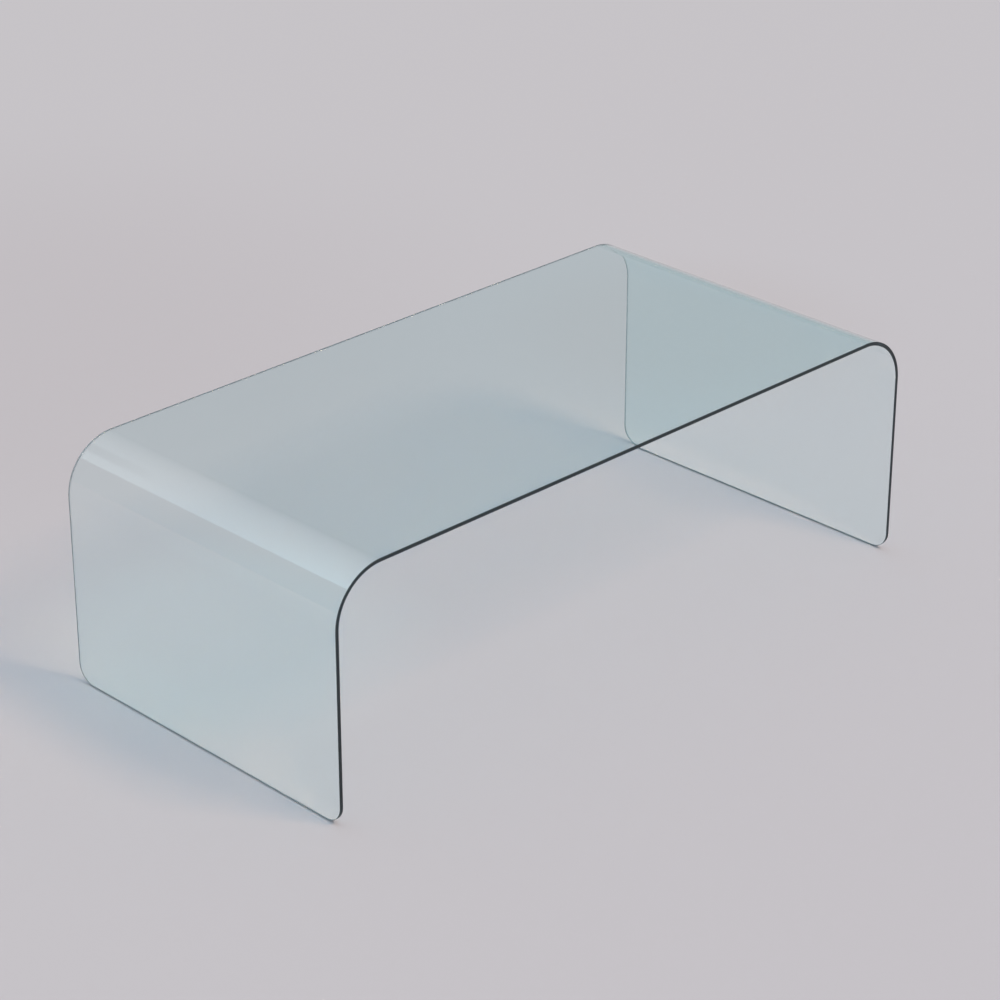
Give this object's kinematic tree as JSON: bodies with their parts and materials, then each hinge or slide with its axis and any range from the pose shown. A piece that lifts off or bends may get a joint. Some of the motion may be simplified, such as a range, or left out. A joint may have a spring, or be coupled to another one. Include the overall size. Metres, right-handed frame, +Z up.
{
  "type": "waterfall coffee table",
  "caption": "Low coffee table of clear aqua glass bent in a waterfall shape, its ends turned down as legs with rounded lower corners, standing on small clear glides.",
  "frame": {"origin": "on the floor under the centre of the table, at the bottom centre of its box", "axes": "+X along the table from one leg to the other, +Y across it towards the back, +Z up"},
  "size_m": [1.2, 0.584, 0.391],
  "materials": {
    "glass": "clear float glass with a pale aqua tint, fire-polished faces and ground, polished edges that look dark blue-grey",
    "glide": "clear cast polyurethane with a soft satin skin",
    "film": "clear acrylic adhesive film"
  },
  "bodies": {
    "root": {"glass_sheet": "glass", "glide_front_left": "glide", "glide_film_front_left": "film", "glide_front_right": "glide", "glide_film_front_right": "film", "glide_back_left": "glide", "glide_film_back_left": "film", "glide_back_right": "glide", "glide_film_back_right": "film"}
  },
  "joints": []
}
